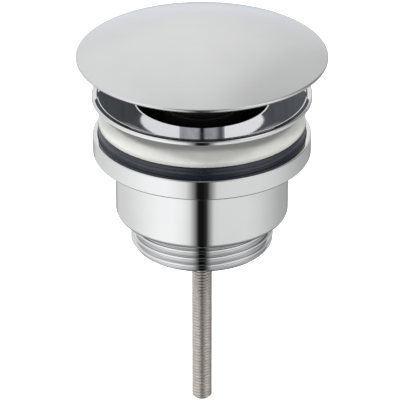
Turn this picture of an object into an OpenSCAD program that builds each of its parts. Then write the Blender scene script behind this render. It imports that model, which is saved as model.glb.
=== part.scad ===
// Pop-up basin waste: a domed cap on a press cartridge, a dish flange with its gasket, and a
// threaded tail that a central rod pulls up against the underside of the basin.
// The axis is Z. Height 0 is the underside of the flange's lip, where the waste sits in the basin.

/* [Cap] */
// Radius of the domed cap
cap_r = 36.4; // [34:0.1:39]
// Thickness of the cap's rounded edge
cap_edge = 1.2; // [1:0.1:1.8]
// Rise of the dome above its edge
cap_rise = 7; // [4:0.5:9]
// Wall of the pressed cap
cap_wall = 1.1; // [0.8:0.1:1.3]
// Height of the cap's lower edge above the basin seat when open
cap_open = 12.3; // [12:0.1:15]
// Radius of the brass insert under the cap
insert_r = 8; // [6.5:0.5:11]
// Radius of the plate that carries the cap's seal
plate_r = 24.5; // [23.5:0.1:25.5]
// Thickness of that plate
plate_t = 1.4; // [1:0.1:2]
// How far the plate hangs below the cap's edge
plate_drop = 0.7; // [0.4:0.1:1]
// Inner radius of the cap's seal
cap_seal_in_r = 21.6; // [20.5:0.1:22.5]
// Outer radius of the cap's seal
cap_seal_out_r = 26.6; // [26.2:0.1:28]
// Thickness of the cap's seal above the plate
cap_seal_over = 1; // [0.6:0.1:1.4]

/* [Stem and cam] */
// Radius of the stem
stem_r = 6; // [5.8:0.1:6.5]
// Radius of the stud on top of the stem
stud_r = 4; // [3:0.5:5]
// Thickness of the insert above the stud's hole
crown_t = 1.1; // [0.8:0.1:2]
// Radius of the spring's hole in the stem and the barrel
spring_hole_r = 3.4; // [3.2:0.05:3.6]
// Depth of that hole in the stem
spring_hole_depth = 13.8; // [8:0.1:15]
// Press travel of the cap
travel = 9.5; // [8.5:0.1:9.8]
// Gap between the stem and the cam barrel's radius
barrel_relief = 0.1; // [0.05:0.05:0.2]
// Depth of the zig-zag track
track_depth = 1.3; // [1:0.1:1.4]
// Radius of a follower pin
pin_r = 0.8; // [0.6:0.1:0.9]
// Gap between a pin and its track
track_clear = 0.3; // [0.2:0.05:0.4]
// Extra room for a pin at the ends of the track
turn_over = 0.25; // [0.1:0.05:0.4]
// Wall of the barrel past the ends of the track
track_end = 0.85; // [0.6:0.05:2]
// Radius of the barrel's spigot in the stem
spigot_r = 4.6; // [4.4:0.1:4.9]
// Length of that spigot
spigot_len = 4; // [2:0.5:6]
// Mean radius of the return spring's coil
coil_r = 2.7; // [2.4:0.05:2.8]
// Radius of the spring's wire
wire_r = 0.4; // [0.3:0.05:0.5]
// Working turns of the spring
coil_turns = 9; // [6:1:12]

/* [Flange] */
// Radius of the flange's lip
lip_r = 32; // [31:0.1:34]
// Thickness of the lip and of the dish
lip_t = 1.3; // [1.1:0.1:1.6]
// Rounding of the lip's edge
lip_round = 0.55; // [0.3:0.05:0.55]
// Width of the lip's rounded top
lip_w = 1.5; // [1:0.1:2]
// Width of the sloping flank inside the lip
lip_flank = 1.8; // [0.6:0.1:2.2]
// Height of that flank
lip_step = 0.35; // [0.3:0.05:0.9]
// Slope of the dish in degrees
dish_slope = 8.3; // [6:0.1:12]
// Radius of the drain hole
throat_r = 19; // [18:0.1:20]
// Rounding of the drain hole's edge
throat_round = 1.2; // [0.6:0.1:1.6]
// Wall of the neck
neck_wall = 2.5; // [1.8:0.1:2.8]
// Length of the neck below the seat
neck_len = 16; // [15:0.5:18]
// Height of the spider in the neck
spider_t = 4.5; // [4:0.1:6]
// How far the spider stands in from the end of the neck
spider_in = 0.8; // [0.4:0.1:2]
// Width of a spider arm
arm_w = 3.6; // [2.5:0.1:5]
// How far a spider arm stands in from the faces of its boss
arm_in = 0.4; // [0.2:0.1:0.8]
// Number of arms of each spider
arm_count = 4; // [3:1:4]
// Wall round the spider's hole
boss_wall = 2.4; // [1.8:0.1:3]

/* [Cartridge] */
// Radius of the housing's threaded shank
shank_r = 9.5; // [9.3:0.1:10]
// How far the housing's head stands out past the shank
head_over = 1.6; // [1:0.1:2.2]
// Depth of the follower pins below the spider
pin_drop = 6.5; // [5.5:0.1:8]
// Height of the follower ring
follower_h = 3.2; // [2.4:0.1:4]
// Wall of the follower ring
follower_wall = 1.4; // [1.2:0.1:1.6]
// Thickness of the circlip
circlip_t = 1; // [0.6:0.1:1.4]
// Depth of the circlip's groove
circlip_depth = 0.7; // [0.4:0.1:0.9]
// Length of stem inside the guide bush when open
guide_in = 3.5; // [2.5:0.1:4]
// Length of the guide bush in the housing
bush_len = 6; // [5:0.1:7]
// Thickness of the guide bush's flange
bush_flange_t = 1.2; // [0.8:0.1:1.6]
// How far the bush's flange stands in from the housing's head
bush_flange_in = 0.8; // [0.3:0.1:1.2]
// Radius of the O-ring's section
o_ring_r = 0.65; // [0.5:0.05:0.7]
// Thickness of the housing's floor
floor_t = 2; // [1.5:0.1:3]
// Length of the rod's hole in the housing
rod_hold = 6; // [5:0.1:7]
// Wall round the rod's hole
rod_wall = 3.5; // [2:0.1:5]
// Thickness of the washer under the spider
housing_washer_t = 1.5; // [1:0.1:2]
// Overhang of that washer past the shank
housing_washer_over = 3.3; // [2.5:0.1:4]
// Width across the flats of the cartridge nut
cartridge_nut_af = 24; // [23:0.5:27]
// Height of the cartridge nut
cartridge_nut_h = 4.5; // [3:0.5:6]

/* [Seals] */
// Height of the basin gasket
gasket_h = 8; // [6:0.1:9]
// How far the gasket's foot stands in from the clamp seal's side
gasket_in = 0.1; // [0:0.05:0.5]
// Depth of the hollow in the gasket's side
gasket_hollow = 0.8; // [0.4:0.1:1.2]
// Height of the gasket's plain foot
gasket_foot_h = 1.2; // [0.6:0.1:2]
// Height of the clamp seal above the collar
clamp_seal_h = 3.4; // [3:0.1:5]
// Height of a ridge on the clamp seal
ridge_r = 0.35; // [0.2:0.05:0.4]

/* [Tail] */
// Radius of the collar
collar_r = 31.8; // [31.3:0.05:33]
// Rim of the collar round the clamp seal
collar_rim = 1.45; // [1:0.05:1.6]
// Height of the collar
collar_h = 6.1; // [5:0.1:8]
// Rounding of the collar's edges
collar_round = 0.5; // [0.3:0.05:0.8]
// Depth of the recess for the clamp seal
recess_d = 2; // [1.5:0.1:2.5]
// Radius of the cup
cup_r = 25.3; // [24.6:0.1:26]
// Length of the cup below the collar
cup_len = 19.5; // [18:0.1:22]
// Rounding of the cup's lower edge
cup_round = 1.5; // [0.8:0.1:2]
// Gap between the neck and the cup's bore
neck_gap = 1.1; // [0.8:0.1:1.5]
// Thickness of the cup's floor
cup_floor = 3; // [2:0.1:4]
// Outside radius of the tail thread, G 1 1/4
thread_r = 20.955; // [20.5:0.005:21.5]
// Length of the tail thread
thread_len = 10.1; // [9:0.1:14]
// Wall at the tail thread
thread_wall = 2.75; // [2.2:0.05:3.2]
// Chamfer at the end of the tail thread
thread_chamfer = 1.1; // [0.6:0.1:1.4]

/* [Clamp] */
// Outside radius of the rod, M6
rod_r = 3; // [2.5:0.5:3]
// Length of rod below the tail
rod_below = 53.8; // [50:0.1:80]
// Chamfer on the rod's ends
rod_chamfer = 0.7; // [0.4:0.1:0.9]
// Height of the spider in the tail
tail_spider_t = 4.5; // [3.5:0.1:5]
// Wall round the rod's hole in that spider
hub_wall = 3.7; // [3:0.1:5]
// Gap between the housing and that spider
hub_gap = 1.2; // [0.8:0.1:2]
// Thickness of the clamp washer
clamp_washer_t = 1.6; // [1:0.1:2]
// Overhang of the clamp washer past the rod
clamp_washer_over = 3.2; // [3:0.1:4]
// Width across the flats of the clamp nut
clamp_nut_af = 10; // [9:0.5:12]
// Height of the clamp nut
clamp_nut_h = 5; // [3:0.5:6]

/* [Fits] */
// Radial gap of a threaded joint
thread_fit = 0.05; // [0.03:0.01:0.08]
// Radial gap of the stem in its bush
stem_fit = 0.05; // [0.03:0.01:0.08]
// Gap of a piece pressed or glued in its seat
seat_fit = 0.03; // [0.02:0.01:0.08]
// Running gap of the follower ring in the housing
follower_fit = 0.08; // [0.05:0.01:0.1]
// End play of the follower ring
end_play = 0.1; // [0.05:0.01:0.2]
// Gap between moving faces that must not touch
free_gap = 0.3; // [0.25:0.05:0.4]
// Gap between the two seals with no basin between them
seal_gap = 0.05; // [0.02:0.01:0.1]
// Gap of the rod in the tail's spider
rod_gap = 0.3; // [0.25:0.05:0.5]
// Side gap of the clamp seal in its recess
recess_gap = 0.15; // [0.1:0.01:0.25]

/* [Hidden] */
$fn = 96;

// Length that a cutter runs past the face it cuts
past = 0.5;
// Strokes of the cam in one turn, and the pins that share them
strokes = 6;
pin_count = strokes / 2;
stroke_angle = 360 / strokes;
// Flat steps that make up one leg of the cam's track
leg_steps = 10;

// Dome of the cap: an arc through the top that also touches the round edge from inside
edge_r = cap_edge / 2;
bead_r = cap_r - edge_r;
bead_z = cap_open + edge_r;
dome_top = cap_open + cap_edge + cap_rise;
dome_over_bead = dome_top - bead_z;
dome_r = (bead_r * bead_r + dome_over_bead * dome_over_bead - edge_r * edge_r)
    / (2 * (dome_over_bead - edge_r));
dome_z = dome_top - dome_r;

// Plate and stem heights when open
plate_z = cap_open - plate_drop;
plate_top = plate_z + plate_t;
stud_hole_top = dome_top - cap_wall - crown_t;
stud_top = stud_hole_top - free_gap;

// Dish and neck
dish_out_r = lip_r - lip_w - lip_flank;
neck_r = throat_r + neck_wall;
neck_z = -neck_len;
spider_low = neck_z + spider_in;
spider_top = spider_low + spider_t;
function dish_z(r) = lip_t - lip_step - (dish_out_r - r) * tan(dish_slope);
function dish_under(r) = dish_z(r) - lip_t;

// Cam, follower and housing heights when open
barrel_r = stem_r - barrel_relief;
track_r = barrel_r - track_depth;
track_half = pin_r + track_clear;
track_lean = atan2(travel, track_r * stroke_angle * PI / 180);
track_rise = track_half / cos(track_lean);
pin_z = spider_top - pin_drop;
track_low = pin_z - track_half - turn_over;
track_high = pin_z + travel + track_half + turn_over;
barrel_low = track_low - track_end;
barrel_top = track_high + track_end;
follower_in_r = barrel_r + free_gap;
follower_out_r = follower_in_r + follower_wall;
chamber_r = follower_out_r + follower_fit;
step_z = pin_z - follower_h / 2 - end_play;
circlip_z = pin_z + follower_h / 2 + end_play;
head_r = shank_r + head_over;
head_top = barrel_top + guide_in;
floor_z = barrel_low - travel - free_gap;
shank_low = floor_z - floor_t;
housing_low = shank_low - rod_hold;
boss_hole_r = shank_r + thread_fit;
boss_r = boss_hole_r + boss_wall;
bush_hole_r = stem_r + stem_fit;

// Spring, from the housing's floor to the end of its hole in the stem
spring_low = floor_z + seat_fit;
spring_high = barrel_top + spring_hole_depth - seat_fit;
spring_steps = 14;
spring_sides = 6;
dead_turns = 1;

// Tail heights with the tail pulled right up
clamp_seal_top = -gasket_h - seal_gap;
collar_top = clamp_seal_top - clamp_seal_h;
recess_z = collar_top - recess_d;
collar_low = collar_top - collar_h;
cup_low = collar_low - cup_len;
tail_low = cup_low - thread_len;
recess_r = collar_r - collar_rim;
clamp_seal_r = recess_r - recess_gap;
gasket_foot_r = clamp_seal_r - gasket_in;
bore_r = neck_r + neck_gap;
outlet_r = thread_r - thread_wall;
hub_top = housing_low - hub_gap;
hub_low = hub_top - tail_spider_t;
hub_hole_r = rod_r + rod_gap;
hub_r = hub_hole_r + hub_wall;
rod_low = tail_low - rod_below;
rod_hole_r = rod_r + thread_fit;

// A plain ring between two radii and two heights
module ring(r_in, r_out, z_low, z_high) {
    rotate_extrude()
        translate([r_in, z_low])
            square([r_out - r_in, z_high - z_low]);
}

// What rounding takes off a square corner of a profile. The corner is at x, y, and sx, sy are
// the signs of the directions that point out of the material.
module corner_cut(x, y, r, sx, sy) {
    difference() {
        translate([x + (sx > 0 ? -r : -past), y + (sy > 0 ? -r : -past)])
            square(r + past);
        translate([x - sx * r, y - sy * r])
            circle(r);
    }
}

// A boss on spider arms, which start inside the boss and reach a little into the wall round them
module spider(r_hole, r_boss, r_wall, z_low, height) {
    first_angle = 45;
    r_start = (r_hole + r_boss) / 2;
    ring(r_hole, r_boss, z_low, z_low + height);
    for (k = [0 : arm_count - 1])
        rotate(first_angle + k * 360 / arm_count)
            translate([r_start, -arm_w / 2, z_low + arm_in])
                cube([r_wall + past - r_start, arm_w, height - 2 * arm_in]);
}

// A hexagon nut with a plain hole
module hex_nut(across_flats, r_hole, z_low, height) {
    difference() {
        translate([0, 0, z_low])
            cylinder(r = across_flats / 2 / cos(30), h = height, $fn = 6);
        translate([0, 0, z_low - past])
            cylinder(r = r_hole, h = height + 2 * past);
    }
}

// Pressed dome whose wall ends in a round edge
module cap_dome() {
    reach = 1.5;
    color([0.80, 0.81, 0.82])
        rotate_extrude() {
            translate([bead_r, bead_z])
                circle(edge_r);
            intersection() {
                difference() {
                    translate([0, dome_z])
                        circle(dome_r, $fn = 360);
                    translate([0, dome_z])
                        circle(dome_r - cap_wall, $fn = 360);
                }
                polygon([[0, dome_z], [reach * bead_r, dome_z + reach * (bead_z - dome_z)],
                    [0, dome_z + reach * dome_r]]);
            }
        }
}

// Brass boss under the crown, with a blind hole for the stud
module cap_insert() {
    color([0.78, 0.62, 0.32])
        rotate_extrude()
            difference() {
                intersection() {
                    translate([0, dome_z])
                        circle(dome_r - cap_wall - seat_fit, $fn = 360);
                    translate([0, plate_top])
                        square([insert_r, cap_rise + cap_edge]);
                }
                translate([-past, plate_top - past])
                    square([stud_r + thread_fit + past, stud_hole_top - plate_top + past]);
            }
}

// Disc that carries the cap's seal
module seal_plate() {
    color([0.62, 0.63, 0.65])
        ring(stud_r + thread_fit, plate_r, plate_z, plate_top);
}

// Rubber ring gripped on the plate's edge, its underside parallel to the dish
module cap_seal() {
    lift = travel + free_gap;
    color([0.12, 0.12, 0.13])
        rotate_extrude()
            difference() {
                polygon([[cap_seal_in_r, dish_z(cap_seal_in_r) + lift],
                    [cap_seal_out_r, dish_z(cap_seal_out_r) + lift],
                    [cap_seal_out_r, plate_top + cap_seal_over],
                    [cap_seal_in_r, plate_top + cap_seal_over]]);
                translate([cap_seal_in_r - past, plate_z - seat_fit])
                    square([plate_r + seat_fit - cap_seal_in_r + past, plate_t + 2 * seat_fit]);
            }
}

// Chrome stem with its stud above and the holes for the barrel's spigot and the spring below
module plunger_stem() {
    stud_chamfer = 0.5;
    color([0.80, 0.81, 0.82])
        rotate_extrude()
            difference() {
                polygon([[0, barrel_top], [stem_r, barrel_top], [stem_r, plate_z], [stud_r, plate_z],
                    [stud_r, stud_top - stud_chamfer], [stud_r - stud_chamfer, stud_top], [0, stud_top]]);
                translate([-past, barrel_top - past])
                    square([spigot_r + seat_fit + past, spigot_len + seat_fit + past]);
                translate([-past, barrel_top - past])
                    square([spring_hole_r + past, spring_hole_depth + past]);
            }
}

// The zig-zag track as one closed ring, which rises by the travel over one stroke of the cap and
// falls again over the next
module track_ring() {
    tip = barrel_r + past;
    stations = strokes * leg_steps;
    points = [for (i = [0 : stations - 1])
        let (a = i * stroke_angle / leg_steps,
            leg = i % (2 * leg_steps) / leg_steps,
            z = pin_z + travel * min(leg, 2 - leg),
            low = max(z - track_rise, track_low),
            high = min(z + track_rise, track_high))
        each [for (c = [[track_r, low], [tip, low], [tip, high], [track_r, high]])
            [c[0] * cos(a), c[0] * sin(a), c[1]]]];
    sides = [for (i = [0 : stations - 1], j = [0 : 3])
        let (n = (i + 1) % stations,
            k = (j + 1) % 4)
        each [[4 * i + j, 4 * i + k, 4 * n + j], [4 * i + k, 4 * n + k, 4 * n + j]]];
    polyhedron(points = points, faces = sides, convexity = 6);
}

// Barrel under the stem: each stroke of the cap carries the follower pins one leg further
module cam_barrel() {
    color([0.88, 0.87, 0.82])
        difference() {
            union() {
                translate([0, 0, barrel_low])
                    cylinder(r = barrel_r, h = barrel_top - barrel_low);
                translate([0, 0, barrel_low])
                    cylinder(r = spigot_r, h = barrel_top - barrel_low + spigot_len);
            }
            translate([0, 0, barrel_low - past])
                cylinder(r = spring_hole_r, h = barrel_top - barrel_low + spigot_len + 2 * past);
            track_ring();
        }
}

// Profile of the dish, its lip and its neck
module flange_profile() {
    round_r = throat_r + throat_round;
    round_z = dish_z(round_r) - throat_round / cos(dish_slope);
    edge_round = min(lip_round, 0.45 * lip_t);
    difference() {
        polygon([[throat_r, dish_z(throat_r)], [dish_out_r, dish_z(dish_out_r)],
            [dish_out_r + lip_flank, lip_t], [lip_r, lip_t], [lip_r, 0], [dish_out_r + lip_flank, 0],
            [dish_out_r, dish_under(dish_out_r)], [neck_r, dish_under(neck_r)],
            [neck_r, neck_z], [throat_r, neck_z]]);
        corner_cut(lip_r, lip_t, edge_round, 1, 1);
        corner_cut(lip_r, 0, edge_round, 1, -1);
        difference() {
            polygon([[throat_r - past, round_z], [round_r, round_z],
                [round_r - throat_round * sin(dish_slope), round_z + throat_round * cos(dish_slope)],
                [round_r - throat_round * sin(dish_slope), lip_t], [throat_r - past, lip_t]]);
            translate([round_r, round_z])
                circle(throat_round);
        }
    }
}

// Dish flange with the neck and the spider that holds the cartridge
module top_flange() {
    color([0.82, 0.83, 0.84]) {
        rotate_extrude()
            flange_profile();
        spider(boss_hole_r, boss_r, throat_r, spider_low, spider_t);
    }
}

// Soft ring under the dish, with a hollow side above a plain foot
module basin_gasket() {
    side_h = gasket_h - gasket_foot_h;
    side_r = (side_h * side_h / 4 + gasket_hollow * gasket_hollow) / (2 * gasket_hollow);
    color([0.90, 0.90, 0.87])
        rotate_extrude()
            difference() {
                translate([neck_r + free_gap, -gasket_h])
                    square([gasket_foot_r - neck_r - free_gap, gasket_h - seat_fit]);
                translate([gasket_foot_r + side_r - gasket_hollow, -side_h / 2])
                    circle(side_r);
                translate([0, -seat_fit])
                    polygon([[0, dish_under(0)], [dish_out_r, dish_under(dish_out_r)],
                        [dish_out_r + lip_flank, 0], [lip_r + past, 0], [lip_r + past, lip_t], [0, lip_t]]);
            }
}

// Cartridge body: a head on the spider, a shank through it, the follower's step and the rod's boss
module cartridge_housing() {
    color([0.20, 0.21, 0.23])
        rotate_extrude()
            difference() {
                polygon([[0, head_top], [head_r, head_top], [head_r, spider_top], [shank_r, spider_top],
                    [shank_r, shank_low], [rod_r + rod_wall, shank_low], [rod_r + rod_wall, housing_low],
                    [0, housing_low]]);
                translate([-past, step_z])
                    square([chamber_r + past, head_top - step_z + past]);
                translate([-past, circlip_z - seat_fit])
                    square([chamber_r + circlip_depth + past, circlip_t + 2 * seat_fit]);
                translate([-past, floor_z])
                    square([barrel_r + free_gap + past, step_z - floor_z + past]);
                translate([-past, housing_low - past])
                    square([rod_hole_r + past, rod_hold + past]);
            }
}

// Flanged bush that guides the stem, with a groove for the O-ring
module guide_bush() {
    groove_h = 2 * o_ring_r + free_gap;
    groove_z = head_top - groove_h;
    color([0.86, 0.86, 0.83])
        rotate_extrude()
            difference() {
                union() {
                    translate([bush_hole_r, head_top - bush_len])
                        square([chamber_r - seat_fit - bush_hole_r, bush_len + bush_flange_t]);
                    translate([bush_hole_r, head_top])
                        square([head_r - bush_flange_in - bush_hole_r, bush_flange_t]);
                }
                translate([bush_hole_r - past, groove_z])
                    square([2 * o_ring_r + seat_fit + past, groove_h]);
            }
}

// O-ring round the stem
module stem_o_ring() {
    color([0.10, 0.10, 0.11])
        rotate_extrude()
            translate([bush_hole_r + o_ring_r, head_top - o_ring_r - free_gap / 2])
                circle(o_ring_r);
}

// Open ring that keeps the follower on its step
module follower_circlip() {
    opening = 3;
    color([0.55, 0.56, 0.58])
        difference() {
            ring(follower_in_r + free_gap, chamber_r + circlip_depth - seat_fit,
                circlip_z, circlip_z + circlip_t);
            translate([0, -opening / 2, circlip_z - past])
                cube([head_r, opening, circlip_t + 2 * past]);
        }
}

// Ring whose pins run in the track and turn it
module follower_ring() {
    pin_tip_r = track_r + free_gap;
    color([0.70, 0.25, 0.20]) {
        ring(follower_in_r, follower_out_r, pin_z - follower_h / 2, pin_z + follower_h / 2);
        for (k = [0 : pin_count - 1])
            rotate(2 * k * stroke_angle)
                translate([pin_tip_r, 0, pin_z])
                    rotate([0, 90, 0])
                        cylinder(r = pin_r, h = follower_in_r + follower_wall / 2 - pin_tip_r, $fn = 32);
    }
}

// Height of the spring's wire after a number of turns: closed turns at both ends
function coil_z(turn) =
    let (low = spring_low + wire_r,
        high = spring_high - wire_r,
        closed = 2 * wire_r * dead_turns)
    turn < dead_turns ? low + closed * turn / dead_turns
    : turn > dead_turns + coil_turns ? high - closed * (2 * dead_turns + coil_turns - turn) / dead_turns
    : low + closed + (high - low - 2 * closed) * (turn - dead_turns) / coil_turns;

// Return spring, a round wire swept along its coil
module return_spring() {
    steps = (coil_turns + 2 * dead_turns) * spring_steps;
    points = [for (i = [0 : steps], j = [0 : spring_sides - 1])
        let (turn = i / spring_steps, a = 360 * turn, b = 360 * j / spring_sides,
            r = coil_r + wire_r * cos(b))
        [r * cos(a), r * sin(a), coil_z(turn) + wire_r * sin(b)]];
    sides = [for (i = [0 : steps - 1], j = [0 : spring_sides - 1])
        let (n = (j + 1) % spring_sides)
        [i * spring_sides + j, i * spring_sides + n, (i + 1) * spring_sides + n, (i + 1) * spring_sides + j]];
    first = [[for (j = [0 : spring_sides - 1]) spring_sides - 1 - j]];
    last = [[for (j = [0 : spring_sides - 1]) steps * spring_sides + j]];
    color([0.66, 0.67, 0.69])
        polyhedron(points = points, faces = concat(sides, first, last), convexity = 8);
}

// Washer under the spider
module housing_washer() {
    color([0.60, 0.61, 0.63])
        ring(boss_hole_r, shank_r + housing_washer_over, spider_low - housing_washer_t, spider_low);
}

// Nut that holds the cartridge in the spider
module cartridge_nut() {
    color([0.76, 0.60, 0.30])
        hex_nut(cartridge_nut_af, boss_hole_r, spider_low - housing_washer_t - cartridge_nut_h, cartridge_nut_h);
}

// Rod that hangs from the cartridge and carries the tail
module clamp_rod() {
    rod_top = housing_low + rod_hold - free_gap;
    color([0.64, 0.62, 0.58])
        rotate_extrude()
            polygon([[0, rod_low], [rod_r - rod_chamfer, rod_low], [rod_r, rod_low + rod_chamfer],
                [rod_r, rod_top - rod_chamfer], [rod_r - rod_chamfer, rod_top], [0, rod_top]]);
}

// Profile of the collar, the cup and the threaded tail
module tail_profile() {
    difference() {
        union() {
            translate([outlet_r, collar_low])
                square([collar_r - outlet_r, collar_h]);
            translate([outlet_r, cup_low])
                square([cup_r - outlet_r, cup_len + past]);
            polygon([[outlet_r, cup_low + past], [thread_r, cup_low + past],
                [thread_r, tail_low + thread_chamfer], [thread_r - thread_chamfer, tail_low],
                [outlet_r, tail_low]]);
        }
        translate([outlet_r - past, recess_z])
            square([recess_r - outlet_r + past, recess_d + past]);
        translate([outlet_r - past, cup_low + cup_floor])
            square([bore_r - outlet_r + past, recess_z - cup_low]);
        corner_cut(collar_r, collar_top, collar_round, 1, 1);
        corner_cut(collar_r, collar_low, collar_round, 1, -1);
        corner_cut(cup_r, cup_low, cup_round, 1, -1);
    }
}

// Tail in one turned piece, with the spider that the clamp nut pulls on
module tail_body() {
    color([0.80, 0.81, 0.83]) {
        rotate_extrude()
            tail_profile();
        spider(hub_hole_r, hub_r, outlet_r, hub_low, tail_spider_t);
    }
}

// Rubber seal in the collar's recess, with two fine ridges
module clamp_seal() {
    ridge_step = clamp_seal_h / 3;
    color([0.12, 0.13, 0.15]) {
        rotate_extrude() {
            translate([bore_r, recess_z])
                square([clamp_seal_r - ridge_r / 2 - bore_r, clamp_seal_top - recess_z]);
            translate([bore_r, recess_z])
                square([clamp_seal_r - bore_r, recess_d]);
            for (k = [1, 2])
                translate([clamp_seal_r - ridge_r, clamp_seal_top - k * ridge_step])
                    circle(ridge_r);
        }
    }
}

// Washer under the tail's spider
module clamp_washer() {
    color([0.66, 0.66, 0.67])
        ring(hub_hole_r, rod_r + clamp_washer_over, hub_low - clamp_washer_t, hub_low);
}

// Nut on the rod that pulls the tail up
module clamp_nut() {
    color([0.66, 0.66, 0.67])
        hex_nut(clamp_nut_af, rod_hole_r, hub_low - clamp_washer_t - clamp_nut_h, clamp_nut_h);
}

cap_dome();
cap_insert();
seal_plate();
cap_seal();
plunger_stem();
cam_barrel();
top_flange();
basin_gasket();
cartridge_housing();
guide_bush();
stem_o_ring();
follower_circlip();
follower_ring();
return_spring();
housing_washer();
cartridge_nut();
clamp_rod();
tail_body();
clamp_seal();
clamp_washer();
clamp_nut();
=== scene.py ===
"""Looks of a pop-up basin waste: turned chrome pieces, rubber seals and cut threads round the CAD frame.

Sizes are millimetres from the underside of the flange's lip, on the axis, and become metres in the meshes.
"""
import math

import bpy
import numpy as np
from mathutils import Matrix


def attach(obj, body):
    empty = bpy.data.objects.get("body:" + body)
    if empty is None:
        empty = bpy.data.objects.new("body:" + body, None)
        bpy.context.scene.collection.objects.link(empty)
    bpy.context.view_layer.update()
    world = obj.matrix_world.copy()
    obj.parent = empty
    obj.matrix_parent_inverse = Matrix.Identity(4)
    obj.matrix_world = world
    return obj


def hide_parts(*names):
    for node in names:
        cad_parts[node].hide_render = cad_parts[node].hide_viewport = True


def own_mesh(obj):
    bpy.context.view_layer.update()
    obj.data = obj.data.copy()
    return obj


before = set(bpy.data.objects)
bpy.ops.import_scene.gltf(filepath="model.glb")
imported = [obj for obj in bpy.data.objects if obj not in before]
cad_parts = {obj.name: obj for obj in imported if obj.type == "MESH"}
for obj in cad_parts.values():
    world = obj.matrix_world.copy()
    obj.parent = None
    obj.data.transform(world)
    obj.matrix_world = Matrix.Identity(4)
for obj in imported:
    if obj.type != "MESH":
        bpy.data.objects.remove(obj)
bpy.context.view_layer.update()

# Meshes
MM = 0.001
TURNS, SMALL_TURNS, FINE_TURNS = 240, 120, 300
NEAR = 1e-6
SMOOTH_ANGLE = math.radians(35)
# Share of a fillet by which a flat side is kept flat past the arc
FLAT_LEAD = 0.3
# Rounding of edges
SHARP, BREAK, EASE, SOFT, ROUND, FULL, WIDE = 0.0, 0.1, 0.2, 0.3, 0.4, 0.5, 0.8
# Noise of the finishes: the share of fine detail, and the range in which most of its values lie
NOISE_ROUGH, NOISE_LOW, NOISE_HIGH = 0.55, 0.3, 0.7

# Cap
CAP_R, CAP_EDGE, CAP_RISE, CAP_WALL, CAP_OPEN = 36.4, 1.2, 7.0, 1.1, 12.3
# Ends of the bead as shares of half a turn, and of the arc under it as a share of the arc over it
CAP_BEAD_FROM, CAP_BEAD_TO, CAP_UNDER_FROM = 0.04, 0.94, 0.996
# Depth under the dome at which its inside colour starts: bare metal, made darker as painted shade under the
# cap
CAP_SKIN = 0.12
PLATE_LOW, PLATE_TOP = 11.6, 13.0
CAP_SEAL_IN, CAP_SEAL_OUT, CAP_SEAL_TOP, CAP_SEAL_LIFT, CAP_SEAL_ROUND = 21.6, 26.6, 14.0, 9.8, 0.6
PLATE_SLOT_R, PLATE_SLOT_GAP = 24.53, 0.03

# Stem and cartridge
STEM_R, STEM_LOW, STEM_ROUND, STUD_R, STUD_TOP = 6.0, -5.5, 0.25, 4.0, 18.0
INSERT_R, STUD_HOLE_R, STUD_HOLE_TOP = 8.0, 4.05, 18.3
SPIGOT_HOLE_R, SPIGOT_HOLE_TOP, SPRING_HOLE_R, SPRING_HOLE_TOP = 4.63, -1.47, 3.4, 8.3
HEAD_R, HEAD_TOP, SHANK_R, SHANK_LOW = 11.1, -2.0, 9.5, -31.2
CHAMBER_R, CHAMBER_LOW, WELL_R, WELL_LOW = 7.68, -18.9, 6.2, -29.2
ROD_BOSS_R, ROD_BOSS_LOW, ROD_HOLE_R = 6.5, -37.2, 3.05
SHANK_PITCH, SHANK_THREAD_DEPTH, SHANK_FADE = 1.5, 0.75, 0.8
# Relief at the shank's ends, its chamfer, and its length in the spider that has no thread
SHANK_RELIEF, SHANK_LEAD, SHANK_PLAIN = 0.4, 0.6, 4.8
BUSH_HOLE_R, BUSH_R, BUSH_LOW, BUSH_FLANGE_R, BUSH_TOP = 6.05, 7.65, -8.0, 10.3, -0.8
BUSH_GROOVE_R, BUSH_GROOVE_LOW = 7.38, -3.6
COIL_R, WIRE_R, COIL_TURNS, SPRING_LOW, SPRING_HIGH, CAP_TRAVEL = 2.7, 0.4, 9, -29.17, 8.27, 9.5

# Dish flange
LIP_R, LIP_T, LIP_W, LIP_FLANK, LIP_STEP = 32.0, 1.3, 1.5, 1.8, 0.35
LIP_TOP_ROUND, LIP_LOW_ROUND = 0.6, 0.15
DISH_SLOPE = math.radians(8.3)
DISH_OUT_R = LIP_R - LIP_W - LIP_FLANK
BEAD_STEP_R, BEAD_STEP, BEAD_STEP_ROUND = 30.15, 0.1, 0.04
SHOWN_SLOPE = math.radians(9.1)
THROAT_R, THROAT_ROUND, NECK_R, NECK_LOW = 19.0, 1.2, 21.5, -16.0
SPIDER_LOW, SPIDER_TOP, SPIDER_HOLE_R, SPIDER_BOSS_R = -15.2, -10.7, 9.55, 11.95
ARM_W, ARM_IN, ARM_COUNT, ARM_SINK = 3.6, 0.4, 4, 0.5
BOSS_HOLE_ROUND, BOSS_LOW_ROUND = 0.25, 0.35
# How far past a bore's radius its painted shade, a near-black rough finish, is looked for
BORE_REACH = 0.25

# Seals
GASKET_IN_R, GASKET_R, GASKET_LOW, GASKET_FOOT, GASKET_HOLLOW = 21.8, 30.1, -8.0, -6.8, 0.8
GASKET_SIDE_TOP, GASKET_EDGE_IN, GASKET_STEP = -0.42, 0.15, 0.02
GASKET_EDGE_ROUND, GASKET_FOOT_ROUND = 0.08, 0.22
SEAT_GAP = 0.03
SEAL_IN_R, SEAL_R, SEAL_TOP, SEAL_LOW, SEAL_ROUND = 22.6, 30.2, -8.05, -13.45, 0.75
SEAL_RIDGE, SEAL_RIDGE_SPREAD, SEAL_SIDE_DROP, SEAL_SIDE_LIFT = 0.35, 0.55, 0.85, 0.1

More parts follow.
